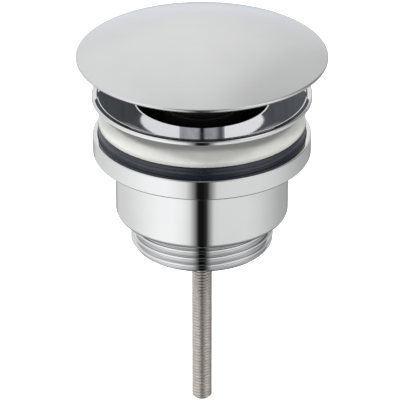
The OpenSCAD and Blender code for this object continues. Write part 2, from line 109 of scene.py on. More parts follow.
# Tail
COLLAR_R, COLLAR_TOP, COLLAR_LOW = 31.8, -11.45, -17.55
RECESS_R, RECESS_LOW, RECESS_ROUND, BORE_R = 30.35, -13.45, 0.12, 22.6
CUP_R, CUP_LOW, CUP_FLOOR, CUP_ROUND = 25.3, -37.05, -34.05, 1.5
THREAD_R, TAIL_LOW, THREAD_CHAMFER, OUTLET_R = 20.955, -47.15, 1.1, 18.205
THREAD_RELIEF, THREAD_ROUND, TAIL_RIM = 0.25, 0.15, 0.2
TAIL_PITCH, TAIL_THREAD_DEPTH, TAIL_FADE, TAIL_CREST, TAIL_START = 2.309, 1.2, 1.2, 0.2, -0.37
HUB_LOW, HUB_TOP, HUB_HOLE_R, HUB_R = -42.9, -38.4, 3.3, 7.0
# How far a groove runs on past the end that it is cut through
THREAD_PAST = 2.0

# Clamp
ROD_R, ROD_LOW, ROD_TOP, ROD_CHAMFER = 3.0, -100.95, -31.5, 0.7
ROD_PITCH, ROD_THREAD_DEPTH, ROD_FADE = 1.0, 0.3, 0.5
HOUSING_WASHER_R, HOUSING_WASHER_T = 12.8, 1.5
CARTRIDGE_NUT_AF, CARTRIDGE_NUT_H = 24.0, 4.5
CLAMP_WASHER_R, CLAMP_WASHER_T = 6.2, 1.6
CLAMP_NUT_AF, CLAMP_NUT_H = 10.0, 5.0
WASHER_HOLE_ROUND = 0.15
# Lead-in of a nut's hole and radius of its face, as shares of half its width, and its chamfer's angle
NUT_LEAD, NUT_FACE, NUT_CONE = 0.12, 0.96, math.radians(30)


def dish_z(r):
    """Height of the dish: a straight slope that ends at the flank inside the lip."""
    return LIP_T - LIP_STEP - (DISH_OUT_R - r) * math.tan(DISH_SLOPE)


def dish_under(r):
    """Height of the dish's underside."""
    return dish_z(r) - LIP_T


def arc(r, z, radius, angles):
    """Points of a circle round (r, z), at angles from straight up."""
    return np.stack([r + radius * np.sin(angles), z + radius * np.cos(angles)], axis=1)


def wall(r, z):
    """Points of a straight wall: one radius at every height of z."""
    return np.stack([np.full(len(z), r), z], axis=1)


def rounded(corners, ends_on_axis=False, steps=9):
    """Profile through corners (r, z, fillet). Each corner becomes an arc that touches both its sides, and a
    point a little past each end of the arc keeps the sides flat. The profile is a loop unless it ends on
    the axis."""
    places = np.array([(r, z) for r, z, _ in corners], float)
    pieces = []
    for i, (_, _, fillet) in enumerate(corners):
        at_end = ends_on_axis and i in (0, len(corners) - 1)
        if fillet <= 0 or at_end:
            pieces.append(places[i:i + 1])
            continue
        to_last = places[i - 1] - places[i]
        to_next = places[(i + 1) % len(corners)] - places[i]
        last_len, next_len = np.linalg.norm(to_last), np.linalg.norm(to_next)
        to_last, to_next = to_last / last_len, to_next / next_len
        half = 0.5 * math.acos(np.clip(to_last @ to_next, -1, 1))
        reach = fillet / math.tan(half)
        middle = to_last + to_next
        centre = places[i] + middle / np.linalg.norm(middle) * fillet / math.sin(half)
        start = places[i] + to_last * reach - centre
        stop = places[i] + to_next * reach - centre
        first = math.atan2(start[1], start[0])
        sweep = math.atan2(stop[1], stop[0]) - first
        sweep = (sweep + math.pi) % (2 * math.pi) - math.pi
        a = first + sweep * np.linspace(0, 1, steps)
        bend = centre + fillet * np.stack([np.cos(a), np.sin(a)], axis=1)
        flat = reach + FLAT_LEAD * fillet
        before = places[i] + to_last * min(flat, 0.5 * (reach + last_len))
        after = places[i] + to_next * min(flat, 0.5 * (reach + next_len))
        pieces.append(np.vstack([before, bend, after]))
    return np.vstack(pieces)


def lathe(profile, turns=TURNS, shape=None, wind=None):
    """Surface of a turned piece: the point (r cos t, r sin t, z) for the profile's points (r, z) and a full
    turn of t. Points on the axis become one point each, and a profile with no end there is a loop. shape,
    if given, works out r again from the grids of t, r and z, as for a thread or a hexagon. wind, if given,
    is (first row, last row, low, high, pitch, rows in a pitch): those rows climb one pitch in the turn, so
    that the mesh follows a thread, and what climbs past low or high is held there."""
    r, z = profile[:, 0], profile[:, 1]
    turning = np.sum(r * np.roll(z, -1) - np.roll(r, -1) * z)
    if turning > 0:
        r, z = r[::-1], z[::-1]
    count = len(r)
    t = np.linspace(0, 2 * np.pi, turns, endpoint=False)
    tt, rr = np.meshgrid(t, r, indexing="ij")
    zz = np.tile(z, (turns, 1))
    index = np.arange(turns * count).reshape(turns, count)
    closing = np.arange(count)
    if wind:
        first, last, low, high, pitch, rows = wind
        wound = slice(first, last + 1)
        climbed = z[wound] + pitch * t[:, None] / (2 * np.pi)
        zz[:, wound] = np.clip(climbed, low, high)
        index[:, wound] = np.where(climbed > high - NEAR, index[:, [first]], index[:, wound])
        index[:, wound] = np.where(climbed < low + NEAR, index[:, [last]], index[:, wound])
        closing[wound] = np.maximum(closing[wound] - rows, first)
    if shape:
        rr = shape(tt, rr, zz)
    points = np.stack([rr * np.cos(tt), rr * np.sin(tt), zz], axis=2).reshape(-1, 3)
    pole = r < NEAR
    index[:, pole] = index[0, pole]
    following = np.vstack([index[1:], index[0, closing]])
    stop = -1 if pole[0] and pole[-1] else None
    ahead, following_ahead = np.roll(index, -1, axis=1), np.roll(following, -1, axis=1)
    quads = np.stack([index, ahead, following_ahead, following], axis=2)
    return points, quads[:, :stop].reshape(-1, 4)


def wound_rows(low, high, pitch, rows):
    """Heights of the rows that a wound thread needs, from high down to a pitch below low."""
    count = math.ceil((high - low + pitch) / pitch * rows)
    return high - np.arange(count + 1) * pitch / rows


def bar(section, start, stop, angle):
    """A straight bar along the radius: the closed outline section (across, z) is carried from one radius to
    the other, turned about the axis by angle, and each end closes on a point in its middle."""
    across, z = section[:, 0], section[:, 1]
    count = len(section)
    x = np.repeat(np.array([start, stop]), count)
    y = np.tile(across, 2)
    turned_x = x * math.cos(angle) - y * math.sin(angle)
    turned_y = x * math.sin(angle) + y * math.cos(angle)
    points = np.stack([turned_x, turned_y, np.tile(z, 2)], axis=1)
    middle = points.reshape(2, count, 3).mean(axis=1)
    i = np.arange(count)
    n = np.roll(i, -1)
    sides = np.stack([i, i + count, n + count, n], axis=1)
    near = np.stack([np.full(count, 2 * count), i, n, n], axis=1)
    far = np.stack([np.full(count, 2 * count + 1), n + count, i + count, i + count], axis=1)
    return np.vstack([points, middle]), np.vstack([sides, near, far])


def thread(pitch, depth, low, high, fade, crest=0.1, root=0.95, start=0.0):
    """Groove of a screw thread: r is lowered by depth times half of 1 - cos, from crest to root and back, as
    the phase (z - start) / pitch - t / turn runs through one pitch. The share crest of it stays flat on top,
    and what lies past the share root is flat below. The groove fades out over fade at both ends."""
    def cut(t, r, z):
        phase = ((z - start) / pitch - t / (2 * np.pi)) % 1.0
        wave = 1.0 - np.abs(2.0 * phase - 1.0)
        groove = 0.5 - 0.5 * np.cos(np.pi * np.clip((wave - crest) / (root - crest), 0.0, 1.0))
        ease = np.clip(np.minimum(z - low, high - z) / fade, 0.0, 1.0)
        return r - depth * groove * ease * ease * (3.0 - 2.0 * ease)

    return cut


def spider(hole_r, boss_r, wall_r, low, high):
    """Boss ring and the arms that carry it, from inside the boss to a little way into the wall."""
    boss = rounded([(hole_r, low, BOSS_HOLE_ROUND), (boss_r, low, BOSS_LOW_ROUND), (boss_r, high, FULL),
                    (hole_r, high, SOFT)], steps=5)
    shells = [lathe(boss, SMALL_TURNS)]
    half, z0, z1 = ARM_W / 2, low + ARM_IN, high - ARM_IN
    section = rounded([(-half, z0, ROUND), (half, z0, ROUND), (half, z1, WIDE), (-half, z1, WIDE)], steps=5)
    for k in range(ARM_COUNT):
        angle = math.pi / 4 + k * 2 * math.pi / ARM_COUNT
        shells.append(bar(section, 0.5 * (hole_r + boss_r), wall_r + ARM_SINK, angle))
    return shells


def hexagon(across_flats, hole_r, low, height):
    """Hexagon nut: r is the hexagon's distance at each angle, cut down to a cone at both faces."""
    half = across_flats / 2
    corner = half / math.cos(math.pi / 6)
    lead = NUT_LEAD * half
    face_r = NUT_FACE * half
    high = low + height
    slope = math.tan(NUT_CONE)
    cone_rows = 7
    rise = (corner - face_r) * slope * np.linspace(0, 1, cone_rows)
    outside = wall(corner, np.concatenate([low + rise, high - rise[::-1]]))
    lead_r = hole_r + lead
    inside = np.array([(lead_r, high), (hole_r, high - lead), (hole_r, low + lead), (lead_r, low)])

    def flats(t, r, z):
        side = (t + math.pi / 6) % (math.pi / 3) - math.pi / 6
        flat = half / np.cos(math.pi / 6 - np.abs(side))
        cone = face_r + np.minimum(z - low, high - z) / slope
        return np.where(r > lead_r + NEAR, np.minimum(flat, cone), r)

    return lathe(np.vstack([outside, inside]), turns=144, shape=flats)


def washer(hole_r, outer_r, low, top, turns):
    """Flat ring with eased edges."""
    return lathe(rounded([(hole_r, low, WASHER_HOLE_ROUND), (outer_r, low, SOFT), (outer_r, top, SOFT),
                          (hole_r, top, WASHER_HOLE_ROUND)], steps=5), turns)


def piece(name, shells, material, body, slot, *nodes, inner=None, inside=None):
    """One mesh object from shells of points and faces, with gentle edges shaded smooth. Faces that meet a
    point on the axis or at a bar's end lose their double corner, and those with two are left out. inner is
    a second finish for the faces whose middle (r, z) is inside."""
    points, quads, offset = [], [], 0
    for shell_points, shell_quads in shells:
        points.append(shell_points)
        quads.append(shell_quads + offset)
        offset += len(shell_points)
    points, quads = np.vstack(points), np.vstack(quads)
    used, flat = np.unique(quads, return_inverse=True)
    points, quads = points[used] * MM, flat.reshape(-1, 4)
    double = quads == np.roll(quads, -1, axis=1)
    doubles = double.sum(axis=1)
    whole = quads[doubles == 0]
    corners = quads[doubles == 1][~double[doubles == 1]].reshape(-1, 3)
    mesh = bpy.data.meshes.new(name)
    mesh.from_pydata(points.tolist(), [], whole.tolist() + corners.tolist())
    mesh.polygons.foreach_set("use_smooth", np.ones(len(mesh.polygons), bool))
    mesh.set_sharp_from_angle(angle=SMOOTH_ANGLE)
    mesh.materials.append(material)
    if inner:
        mesh.materials.append(inner)
        middle = np.vstack([points[whole].mean(axis=1), points[corners].mean(axis=1)]) / MM
        hidden = inside(np.hypot(middle[:, 0], middle[:, 1]), middle[:, 2])
        mesh.polygons.foreach_set("material_index", hidden.astype(np.int32))
    mesh.update()
    made = bpy.data.objects.new(name, mesh)
    bpy.context.scene.collection.objects.link(made)
    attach(made, body)
    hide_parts(*nodes)
    return made


class Finish:
    """A node material on a Principled shader, with short ways to add the nodes that its patterns need."""

    def __init__(self, name, **sockets):
        self.material = bpy.data.materials.new(name)
        self.material.use_nodes = True
        self.nodes = self.material.node_tree.nodes
        self.links = self.material.node_tree.links
        self.shader = self.nodes["Principled BSDF"]
        for socket, value in sockets.items():
            self.shader.inputs[socket.replace("_", " ")].default_value = value
        self.place = self.add("ShaderNodeTexCoord").outputs["Object"]

    def add(self, kind, **settings):
        """A new node with its settings."""
        node = self.nodes.new(kind)
        for key, value in settings.items():
            setattr(node, key, value)
        return node

    def join(self, source, node, socket):
        """Links source to a socket of node."""
        self.links.new(source, node.inputs[socket])

    def noise(self, scale, detail, where=None):
        """Noise at scale cells per metre."""
        node = self.add("ShaderNodeTexNoise")
        node.inputs["Scale"].default_value = scale
        node.inputs["Detail"].default_value = detail
        node.inputs["Roughness"].default_value = NOISE_ROUGH
        self.join(where or self.place, node, "Vector")
        return node.outputs["Fac"]

    def turned(self):
        """Place on a turned piece, as (distance from the axis, height), so that a pattern runs in rings."""
        parts = self.add("ShaderNodeSeparateXYZ")
        self.join(self.place, parts, "Vector")
        flat = self.add("ShaderNodeCombineXYZ")
        self.join(parts.outputs["X"], flat, "X")
        self.join(parts.outputs["Y"], flat, "Y")
        far = self.add("ShaderNodeVectorMath", operation="LENGTH")
        self.join(flat.outputs["Vector"], far, 0)
        ring = self.add("ShaderNodeCombineXYZ")
        self.join(far.outputs["Value"], ring, "X")
        self.join(parts.outputs["Z"], ring, "Z")
        return ring.outputs["Vector"]

    def span(self, source, low, high):
        """The usual range of a noise, stretched from low to high."""
        node = self.add("ShaderNodeMapRange")
        node.inputs["From Min"].default_value = NOISE_LOW
        node.inputs["From Max"].default_value = NOISE_HIGH
        node.inputs["To Min"].default_value = low
        node.inputs["To Max"].default_value = high
        self.join(source, node, "Value")
        return node.outputs["Result"]

    def tint(self, source, dark, light):
        """Base colour that runs from dark to light with source."""
        node = self.add("ShaderNodeMix", data_type="RGBA")
        colour_in = [s for s in node.inputs if s.type == "RGBA"]
        colour_in[0].default_value = (*dark, 1.0)
        colour_in[1].default_value = (*light, 1.0)
        self.links.new(self.span(source, 0.0, 1.0), node.inputs[0])
        colour_out = [s for s in node.outputs if s.type == "RGBA"][0]
        self.join(colour_out, self.shader, "Base Color")

    def roughness(self, source, low, high):
        """Roughness that runs from low to high with source."""
        self.join(self.span(source, low, high), self.shader, "Roughness")

    def bump(self, source, height):
        """Relief of source, height metres from its low to its high parts."""
        node = self.add("ShaderNodeBump")
        node.inputs["Strength"].default_value = 1.0
        node.inputs["Distance"].default_value = height
        self.join(source, node, "Height")
        self.join(node.outputs["Normal"], self.shader, "Normal")


def chrome(name, dark, light, rough, rings):
    """Chrome plate on turned brass: fine turning rings under the plate, and patches that are less bright."""
    finish = Finish(name, Metallic=1.0)
    finish.tint(finish.noise(scale=55.0, detail=3.0), dark, light)
    finish.roughness(finish.noise(scale=140.0, detail=4.0), *rough)
    finish.bump(finish.noise(scale=2600.0, detail=2.0, where=finish.turned()), rings)
    return finish.material


def rubber(name, dark, light, rough, grain, **sockets):
    """Moulded rubber or plastic: slightly cloudy colour, a fine matt grain and faint bloom."""
    finish = Finish(name, IOR=1.5, **sockets)
    finish.tint(finish.noise(scale=180.0, detail=4.0), dark, light)
    finish.roughness(finish.noise(scale=420.0, detail=4.0), *rough)
    finish.bump(finish.noise(scale=5200.0, detail=3.0), grain)
    return finish.material


def drawn_metal(name, dark, light, rough, ring_scale, rings):
    """Bare turned or rolled metal: rings left by the tool, with stains between them."""
    finish = Finish(name, Metallic=1.0)
    finish.tint(finish.noise(scale=700.0, detail=4.0), dark, light)
    finish.roughness(finish.noise(scale=900.0, detail=3.0), *rough)
    finish.bump(finish.noise(scale=ring_scale, detail=2.0, where=finish.turned()), rings)
    return finish.material


CAP_CHROME = chrome("cap_chrome", dark=(0.612, 0.613, 0.616), light=(0.638, 0.639, 0.642),
                    rough=(0.16, 0.22), rings=2.0e-7)
BODY_CHROME = chrome("body_chrome", dark=(0.628, 0.632, 0.636), light=(0.668, 0.672, 0.676),
                     rough=(0.02, 0.035), rings=1.0e-7)
SEAL_BLACK = rubber("seal_black", dark=(0.009, 0.013, 0.019), light=(0.017, 0.023, 0.031),
                    rough=(0.26, 0.36), grain=1.2e-5)
WET_BLACK = rubber("wet_black", dark=(0.006, 0.010, 0.018), light=(0.013, 0.019, 0.029),
                   rough=(0.20, 0.28), grain=6.0e-6, Specular_IOR_Level=0.58)
GASKET_WHITE = rubber("gasket_white", dark=(0.68, 0.685, 0.65), light=(0.75, 0.755, 0.72),
                      rough=(0.48, 0.62), grain=1.2e-5)
CARTRIDGE_BLACK = rubber("cartridge_black", dark=(0.008, 0.008, 0.009), light=(0.014, 0.014, 0.016),
                         rough=(0.55, 0.70), grain=2.0e-5)
CAM_ACETAL = rubber("cam_acetal", dark=(0.60, 0.59, 0.54), light=(0.68, 0.67, 0.62),
                    rough=(0.35, 0.48), grain=6.0e-6)
ROD_STEEL = drawn_metal("rod_steel", dark=(0.46, 0.425, 0.39), light=(0.60, 0.56, 0.515),
                        rough=(0.34, 0.41), ring_scale=3000.0, rings=4.0e-6)
PLAIN_STEEL = drawn_metal("plain_steel", dark=(0.50, 0.49, 0.47), light=(0.62, 0.61, 0.59),
                          rough=(0.22, 0.34), ring_scale=4000.0, rings=2.0e-6)
# Near-black rough metal inside the throat, neck, spider and bores: painted shade in those hollows
INTERIOR_SHADE = drawn_metal("interior_painted_shade", dark=(0.05, 0.05, 0.052), light=(0.09, 0.09, 0.092),
                          rough=(0.45, 0.60), ring_scale=1500.0, rings=1.0e-5)
# Underside of the dome: bare metal, its grey made darker as painted shade under the cap
CAP_UNDERSIDE_SHADE = drawn_metal("cap_underside_shade", dark=(0.29, 0.32, 0.355), light=(0.36, 0.395, 0.43),
                         rough=(0.45, 0.55), ring_scale=1500.0, rings=4.0e-6)
# Stem metal, darker than the body's chrome
STEM_DARK_METAL = drawn_metal("stem_dark_metal", dark=(0.36, 0.375, 0.39), light=(0.43, 0.445, 0.46),
                          rough=(0.14, 0.22), ring_scale=3000.0, rings=1.0e-6)
BRASS = drawn_metal("machined_brass", dark=(0.62, 0.43, 0.19), light=(0.74, 0.54, 0.26),
                    rough=(0.22, 0.34), ring_scale=3600.0, rings=3.0e-6)


def make_cap():
    """Pressed dome: an arc over the top, half a turn round the edge's bead, and a parallel arc back under it.
    The brass insert fills the crown from the plate up to that arc and has a blind hole for the stud."""
    edge = CAP_EDGE / 2
    bead_r, bead_z = CAP_R - edge, CAP_OPEN + edge
    top = CAP_OPEN + CAP_EDGE + CAP_RISE
    rise = top - bead_z
    big = (bead_r ** 2 + rise ** 2 - edge ** 2) / (2 * (rise - edge))
    centre = top - big
    lean = math.atan2(bead_r, bead_z - centre)
    over_rows, bead_rows, under_rows, roof_rows = 90, 26, 60, 16
    over = np.linspace(0, lean, over_rows)
    bead = lean + math.pi * np.linspace(CAP_BEAD_FROM, CAP_BEAD_TO, bead_rows)
    under = np.linspace(lean * CAP_UNDER_FROM, 0, under_rows)
    profile = np.vstack([arc(0, centre, big, over), arc(bead_r, bead_z, edge, bead),
                         arc(0, centre, big - CAP_WALL, under)])
    profile[[0, -1], 0] = 0.0

    def under_wall(r, z):
        return (np.hypot(r, z - centre) < big - CAP_SKIN) & (r < bead_r)

    # The underside under the wall gets the darker colour, partly painted shade under the cap
    piece("cap", [lathe(profile, turns=288)], CAP_CHROME, "plug", "chrome", "cap_dome",
          inner=CAP_UNDERSIDE_SHADE, inside=under_wall)
    crown = big - CAP_WALL - SEAT_GAP
    r = np.linspace(0, INSERT_R, roof_rows)
    roof = np.stack([r, centre + np.sqrt(crown ** 2 - r ** 2)], axis=1)
    hole = np.array([(INSERT_R, PLATE_TOP), (STUD_HOLE_R, PLATE_TOP), (STUD_HOLE_R, STUD_HOLE_TOP),
                     (0, STUD_HOLE_TOP)])
    piece("stud_insert", [lathe(np.vstack([roof, hole]), SMALL_TURNS)], BRASS, "plug", "brass", "cap_insert")


def make_cap_seal():
    """Rubber ring with a slot for the plate's edge and an underside as steep as the dish."""
    low_in, low_out = dish_z(CAP_SEAL_IN) + CAP_SEAL_LIFT, dish_z(CAP_SEAL_OUT) + CAP_SEAL_LIFT
    slot_low, slot_top = PLATE_LOW - PLATE_SLOT_GAP, PLATE_TOP + PLATE_SLOT_GAP
    profile = rounded([(CAP_SEAL_IN, low_in, SOFT), (CAP_SEAL_OUT, low_out, CAP_SEAL_ROUND),
                       (CAP_SEAL_OUT, CAP_SEAL_TOP, FULL), (CAP_SEAL_IN, CAP_SEAL_TOP, SOFT),
                       (CAP_SEAL_IN, slot_top, BREAK), (PLATE_SLOT_R, slot_top, SHARP),
                       (PLATE_SLOT_R, slot_low, SHARP), (CAP_SEAL_IN, slot_low, BREAK)], steps=6)
    piece("plug_seal", [lathe(profile, turns=180)], SEAL_BLACK, "plug", "black_rubber", "cap_seal")


def make_stem():
    """Turned stem with a stud above and stepped holes below."""
    profile = rounded([(0, STUD_TOP, SHARP), (STUD_R, STUD_TOP, FULL), (STUD_R, PLATE_LOW, SHARP),
                       (STEM_R, PLATE_LOW, STEM_ROUND), (STEM_R, STEM_LOW, EASE),
                       (SPIGOT_HOLE_R, STEM_LOW, BREAK), (SPIGOT_HOLE_R, SPIGOT_HOLE_TOP, SHARP),
                       (SPRING_HOLE_R, SPIGOT_HOLE_TOP, BREAK), (SPRING_HOLE_R, SPRING_HOLE_TOP, SHARP),
                       (0, SPRING_HOLE_TOP, SHARP)], ends_on_axis=True, steps=5)
    piece("stem", [lathe(profile, SMALL_TURNS)], STEM_DARK_METAL, "plug", "chrome", "plunger_stem")


def make_cartridge():
    """Black press cartridge: its housing with a thread cut on the shank, and the bush in its head."""
    shank_top, rows = SPIDER_TOP, 170
    wall_top, wall_low = shank_top - SHANK_RELIEF, SHANK_LOW + SHANK_LEAD
    shank = wall(SHANK_R, np.linspace(wall_top, wall_low, rows))
    head = rounded([(CHAMBER_R, HEAD_TOP, EASE), (HEAD_R, HEAD_TOP, FULL), (HEAD_R, shank_top, SOFT),
                    (SHANK_R, shank_top, EASE), (SHANK_R, wall_top, SHARP)], steps=5)
    boss = rounded([(SHANK_R, wall_low, SHARP), (SHANK_R - SHANK_LEAD, SHANK_LOW, SHARP),
                    (ROD_BOSS_R, SHANK_LOW, SOFT), (ROD_BOSS_R, ROD_BOSS_LOW, FULL),
                    (ROD_HOLE_R, ROD_BOSS_LOW, SOFT), (ROD_HOLE_R, SHANK_LOW, SHARP),
                    (0, SHANK_LOW, SHARP)], ends_on_axis=True, steps=5)
    well = np.array([(0, WELL_LOW), (WELL_R, WELL_LOW), (WELL_R, CHAMBER_LOW), (CHAMBER_R, CHAMBER_LOW)])
    profile = np.vstack([well, head[:-1], shank, boss[1:]])
    groove = thread(SHANK_PITCH, SHANK_THREAD_DEPTH, SHANK_LOW + SHANK_RELIEF, shank_top - SHANK_PLAIN,
                    SHANK_FADE)

    def cut(t, r, z):
        return np.where(np.abs(r - SHANK_R) < NEAR, groove(t, r, z), r)

    piece("cartridge", [lathe(profile, SMALL_TURNS, cut)], CARTRIDGE_BLACK, "waste_top", "housing_plastic",
          "cartridge_housing")
    bush = rounded([(BUSH_HOLE_R, BUSH_LOW, EASE), (BUSH_R, BUSH_LOW, EASE), (BUSH_R, HEAD_TOP, SHARP),
                    (BUSH_FLANGE_R, HEAD_TOP, BREAK), (BUSH_FLANGE_R, BUSH_TOP, ROUND),
                    (BUSH_HOLE_R, BUSH_TOP, SOFT), (BUSH_HOLE_R, HEAD_TOP, BREAK),
                    (BUSH_GROOVE_R, HEAD_TOP, SHARP), (BUSH_GROOVE_R, BUSH_GROOVE_LOW, SHARP),
                    (BUSH_HOLE_R, BUSH_GROOVE_LOW, BREAK)], steps=5)
    # The bush is black like the housing: painted shade for the dark inside of the drain hole
    piece("stem_bush", [lathe(bush, SMALL_TURNS)], CARTRIDGE_BLACK, "waste_top", "housing_plastic",
          "guide_bush")


def make_spring():
    """Return spring: a round wire along a coil with one closed turn at each end. The wire's point is at the
    angle b round its middle, which is at COIL_R from the axis and climbs from SPRING_LOW to SPRING_HIGH."""
    turn_steps, sides = 32, 12
    low, high, closed = SPRING_LOW + WIRE_R, SPRING_HIGH - WIRE_R, 2 * WIRE_R
    all_turns = COIL_TURNS + 2
    turn = np.linspace(0, all_turns, all_turns * turn_steps + 1)
    middle = np.interp(turn, [0, 1, all_turns - 1, all_turns], [low, low + closed, high - closed, high])
    round_wire = np.linspace(0, 2 * np.pi, sides, endpoint=False)
    a, b = np.meshgrid(2 * np.pi * turn, round_wire, indexing="ij")
    r = COIL_R + WIRE_R * np.cos(b)
    wire = np.stack([r * np.cos(a), r * np.sin(a), middle[:, None] + WIRE_R * np.sin(b)], axis=2)
    ends = wire[[0, -1]].mean(axis=1)
    index = np.arange(wire.shape[0] * sides).reshape(-1, sides)
    ahead = np.roll(index, -1, axis=1)
    walls = np.stack([index[:-1], index[1:], ahead[1:], ahead[:-1]], axis=2).reshape(-1, 4)
    first, last = np.full(sides, index.size), np.full(sides, index.size + 1)
    caps = np.vstack([np.stack([first, index[0], ahead[0], ahead[0]], axis=1),
                      np.stack([last, ahead[-1], index[-1], index[-1]], axis=1)])
    shell = np.vstack([wire.reshape(-1, 3), ends]), np.vstack([walls, caps])
    spring = piece("spring", [shell], PLAIN_STEEL, "waste_top", "stainless", "return_spring")
    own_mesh(spring)


def make_flange():
    """Dish with a beaded lip, a small step inside it, a rounded drain hole, the neck and the spider."""
    flank_r = DISH_OUT_R + LIP_FLANK
    step_z = LIP_T - BEAD_STEP
    hole_z = step_z - (BEAD_STEP_R - THROAT_R) * math.tan(SHOWN_SLOPE)
    profile = rounded([(THROAT_R, hole_z, THROAT_ROUND), (BEAD_STEP_R, step_z, BEAD_STEP_ROUND),
                       (flank_r, LIP_T, SOFT), (LIP_R, LIP_T, LIP_TOP_ROUND), (LIP_R, 0, LIP_LOW_ROUND),
                       (flank_r, 0, ROUND), (DISH_OUT_R, dish_under(DISH_OUT_R), WIDE),
                       (NECK_R, dish_under(NECK_R), ROUND), (NECK_R, NECK_LOW, ROUND),
                       (THROAT_R, NECK_LOW, ROUND)])
    shells = [lathe(profile, FINE_TURNS)]
    shells += spider(SPIDER_HOLE_R, SPIDER_BOSS_R, THROAT_R, SPIDER_LOW, SPIDER_TOP)

    def in_throat(r, z):
        return (r < THROAT_R + BORE_REACH) & (z < dish_z(THROAT_R))

    # The throat, neck and spider get the near-black painted shade
    piece("dish_flange", shells, BODY_CHROME, "waste_top", "chrome", "top_flange",
          inner=INTERIOR_SHADE, inside=in_throat)


def make_gasket():
    """Soft ring that fits the dish's underside, with a circular hollow in its side above a plain foot."""
    side_h, rows = -GASKET_FOOT, 40
    hollow_r = (side_h ** 2 / 4 + GASKET_HOLLOW ** 2) / (2 * GASKET_HOLLOW)
    z = np.linspace(GASKET_SIDE_TOP, GASKET_FOOT - GASKET_STEP, rows)
    reach = np.sqrt(hollow_r ** 2 - (z - GASKET_FOOT / 2) ** 2)
    side = np.stack([GASKET_R + hollow_r - GASKET_HOLLOW - reach, z], axis=1)
    slope = LIP_STEP / LIP_FLANK
    shoulder = dish_under(DISH_OUT_R) - SEAT_GAP
    edge_r = GASKET_R - GASKET_EDGE_IN
    top = rounded([(GASKET_IN_R, GASKET_LOW, SOFT), (GASKET_IN_R, dish_under(GASKET_IN_R) - SEAT_GAP, EASE),
                   (DISH_OUT_R, shoulder, SOFT),
                   (edge_r, shoulder + slope * (edge_r - DISH_OUT_R), GASKET_EDGE_ROUND),
                   (GASKET_R - GASKET_STEP, GASKET_SIDE_TOP, SHARP)], steps=5)
    foot = rounded([(GASKET_R, GASKET_FOOT, SHARP), (GASKET_R, GASKET_LOW, GASKET_FOOT_ROUND),
                    (GASKET_IN_R, GASKET_LOW, SHARP)], steps=7)
    profile = np.vstack([top[:-1], side, foot[1:-1]])
    piece("lip_gasket", [lathe(profile)], GASKET_WHITE, "waste_top", "white_rubber", "basin_gasket")


def make_seal():
    """Black seal: a plain ring with a round top edge, whose side carries two low ridges, each a bell curve
    over the height, above the collar's recess."""
    wall_r, rows = SEAL_R - SEAL_RIDGE / 2, 70
    third = (SEAL_TOP - COLLAR_TOP) / 3
    spread = SEAL_RIDGE_SPREAD * SEAL_RIDGE
    z = np.linspace(SEAL_TOP - SEAL_SIDE_DROP, COLLAR_TOP + SEAL_SIDE_LIFT, rows)
    ridges = sum(np.exp(-((z - SEAL_TOP + k * third) / spread) ** 2) for k in (1, 2))
    side = np.stack([wall_r + 0.5 * SEAL_RIDGE * ridges, z], axis=1)
    top = rounded([(SEAL_IN_R, SEAL_LOW, SOFT), (SEAL_IN_R, SEAL_TOP, SOFT), (wall_r, SEAL_TOP, SEAL_ROUND),
                   (wall_r, SEAL_TOP - SEAL_SIDE_DROP, SHARP)])
    base = np.array([(SEAL_R, COLLAR_TOP), (SEAL_R, SEAL_LOW)])
    profile = np.vstack([top[:-1], side, base])
    piece("basin_seal", [lathe(profile)], WET_BLACK, "tail", "black_rubber", "clamp_seal")


def make_tail():
    """Collar with a recess, cup with a rounded foot, and a tail with a cut pipe thread that a cone cuts off
    at its end. The spider is inside."""
    thread_top, rows = CUP_LOW - THREAD_RELIEF, 26
    threaded = wall(THREAD_R, wound_rows(TAIL_LOW, thread_top, TAIL_PITCH, rows))
    upper = rounded([(RECESS_R, RECESS_LOW, BREAK), (RECESS_R, COLLAR_TOP, RECESS_ROUND),
                     (COLLAR_R, COLLAR_TOP, ROUND), (COLLAR_R, COLLAR_LOW, FULL), (CUP_R, COLLAR_LOW, ROUND),
                     (CUP_R, CUP_LOW, CUP_ROUND), (THREAD_R, CUP_LOW, THREAD_ROUND),
                     (THREAD_R, thread_top, SHARP)])
    lower = rounded([(THREAD_R - THREAD_CHAMFER, TAIL_LOW, SHARP), (OUTLET_R, TAIL_LOW, SOFT),
                     (OUTLET_R, CUP_FLOOR, FULL), (BORE_R, CUP_FLOOR, WIDE),
                     (BORE_R, RECESS_LOW, EASE)], steps=6)
    profile = np.vstack([upper[:-1], threaded, lower[1:]])
    first = len(upper) - 1
    last = first + len(threaded) - 1
    groove = thread(TAIL_PITCH, TAIL_THREAD_DEPTH, TAIL_LOW - THREAD_PAST, CUP_LOW, TAIL_FADE,
                    crest=TAIL_CREST, start=TAIL_START)

    def cut(t, r, z):
        lead = THREAD_R - THREAD_CHAMFER + z - TAIL_LOW
        cut_r = np.minimum(groove(t, r, z), lead)
        on_thread = (np.abs(r - THREAD_R) < NEAR) & (z < thread_top + NEAR)
        return np.where(on_thread, cut_r, r)

    shells = [lathe(profile, FINE_TURNS, cut, (first, last, TAIL_LOW, thread_top, TAIL_PITCH, rows))]
    shells += spider(HUB_HOLE_R, HUB_R, OUTLET_R, HUB_LOW, HUB_TOP)

    def in_bore(r, z):
        bore_r = np.where(z < CUP_LOW, OUTLET_R, BORE_R)
        return (r < bore_r + BORE_REACH) & (z > TAIL_LOW + TAIL_RIM)

    # The bores get the near-black painted shade
    piece("tail", shells, BODY_CHROME, "tail", "chrome", "tail_body", inner=INTERIOR_SHADE, inside=in_bore)


